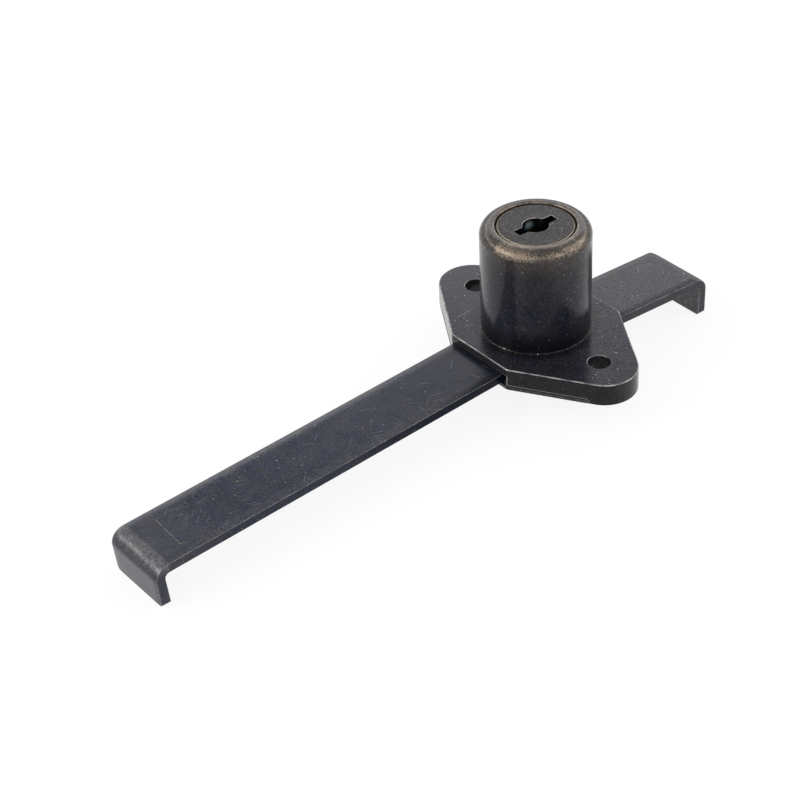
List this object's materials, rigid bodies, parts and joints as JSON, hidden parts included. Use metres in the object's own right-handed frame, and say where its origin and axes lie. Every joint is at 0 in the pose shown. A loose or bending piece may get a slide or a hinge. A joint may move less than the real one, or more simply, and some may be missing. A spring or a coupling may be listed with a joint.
{
  "type": "drawer lock",
  "caption": "Drawer lock with a round barrel on a two-hole flange and a sliding bar with bent hook ends, worked by a keyed plug with sprung wafers.",
  "frame": {"origin": "on the barrel's axis at the flange's front face, which seats against the back of the drawer front or panel", "axes": "+Z along the barrel towards the key, +X along the bar towards its short arm, +Y across the bar towards one screw hole"},
  "size_m": [0.1373, 0.0528, 0.0336],
  "materials": {
    "housing_black": "zinc die casting, antique black bronze plating, satin, rubbed to brown on the barrel's rim",
    "bar_black": "steel strip, antique black bronze plating, satin with fine hair scratches",
    "back_steel": "steel sheet, dark plating, satin",
    "plug_bronze": "zinc die casting, grey-brown antique plating, matte grained face",
    "wafer_brass": "stamped brass, bright",
    "spring_steel": "drawn spring wire, bright"
  },
  "bodies": {
    "root": {"housing": "housing_black", "back_plate": "back_steel"},
    "bar": {"bar": "bar_black"},
    "plug": {"plug": "plug_bronze", "wafer_spring_1": "spring_steel", "wafer_spring_2": "spring_steel", "wafer_spring_3": "spring_steel", "wafer_spring_4": "spring_steel", "wafer_spring_5": "spring_steel", "wafer_spring_6": "spring_steel", "wafer_spring_7": "spring_steel", "wafer_spring_8": "spring_steel"},
    "wafer_1": {"wafer_1": "wafer_brass"},
    "wafer_2": {"wafer_2": "wafer_brass"},
    "wafer_3": {"wafer_3": "wafer_brass"},
    "wafer_4": {"wafer_4": "wafer_brass"},
    "wafer_5": {"wafer_5": "wafer_brass"},
    "wafer_6": {"wafer_6": "wafer_brass"},
    "wafer_7": {"wafer_7": "wafer_brass"},
    "wafer_8": {"wafer_8": "wafer_brass"}
  },
  "joints": [
    {"name": "bar_slide", "type": "slide", "parent": "root", "child": "bar", "axis": [1, 0, 0], "range_m": [0, 0.00707]},
    {"name": "plug_turn", "type": "hinge", "parent": "root", "child": "plug", "pos_m": [0, 0, 0], "axis": [0, 0, -1], "range_deg": [0, 90]},
    {"name": "wafer_1_slide", "type": "slide", "parent": "plug", "child": "wafer_1", "axis": [0.9982, -0.0593, 0], "range_m": [0, 0.001], "deforming": ["wafer_spring_1"]},
    {"name": "wafer_2_slide", "type": "slide", "parent": "plug", "child": "wafer_2", "axis": [-0.9982, 0.0593, 0], "range_m": [0, 0.001], "deforming": ["wafer_spring_2"]},
    {"name": "wafer_3_slide", "type": "slide", "parent": "plug", "child": "wafer_3", "axis": [0.9982, -0.0593, 0], "range_m": [0, 0.001], "deforming": ["wafer_spring_3"]},
    {"name": "wafer_4_slide", "type": "slide", "parent": "plug", "child": "wafer_4", "axis": [-0.9982, 0.0593, 0], "range_m": [0, 0.001], "deforming": ["wafer_spring_4"]},
    {"name": "wafer_5_slide", "type": "slide", "parent": "plug", "child": "wafer_5", "axis": [0.9982, -0.0593, 0], "range_m": [0, 0.001], "deforming": ["wafer_spring_5"]},
    {"name": "wafer_6_slide", "type": "slide", "parent": "plug", "child": "wafer_6", "axis": [-0.9982, 0.0593, 0], "range_m": [0, 0.001], "deforming": ["wafer_spring_6"]},
    {"name": "wafer_7_slide", "type": "slide", "parent": "plug", "child": "wafer_7", "axis": [0.9982, -0.0593, 0], "range_m": [0, 0.001], "deforming": ["wafer_spring_7"]},
    {"name": "wafer_8_slide", "type": "slide", "parent": "plug", "child": "wafer_8", "axis": [-0.9982, 0.0593, 0], "range_m": [0, 0.001], "deforming": ["wafer_spring_8"]}
  ],
  "couplings": [
    {"joint": "plug_turn", "follows": "bar_slide", "rad_per_m": 222.14},
    {"joint": "wafer_2_slide", "follows": "wafer_1_slide", "ratio": 1},
    {"joint": "wafer_3_slide", "follows": "wafer_1_slide", "ratio": 1},
    {"joint": "wafer_4_slide", "follows": "wafer_1_slide", "ratio": 1},
    {"joint": "wafer_5_slide", "follows": "wafer_1_slide", "ratio": 1},
    {"joint": "wafer_6_slide", "follows": "wafer_1_slide", "ratio": 1},
    {"joint": "wafer_7_slide", "follows": "wafer_1_slide", "ratio": 1},
    {"joint": "wafer_8_slide", "follows": "wafer_1_slide", "ratio": 1}
  ]
}
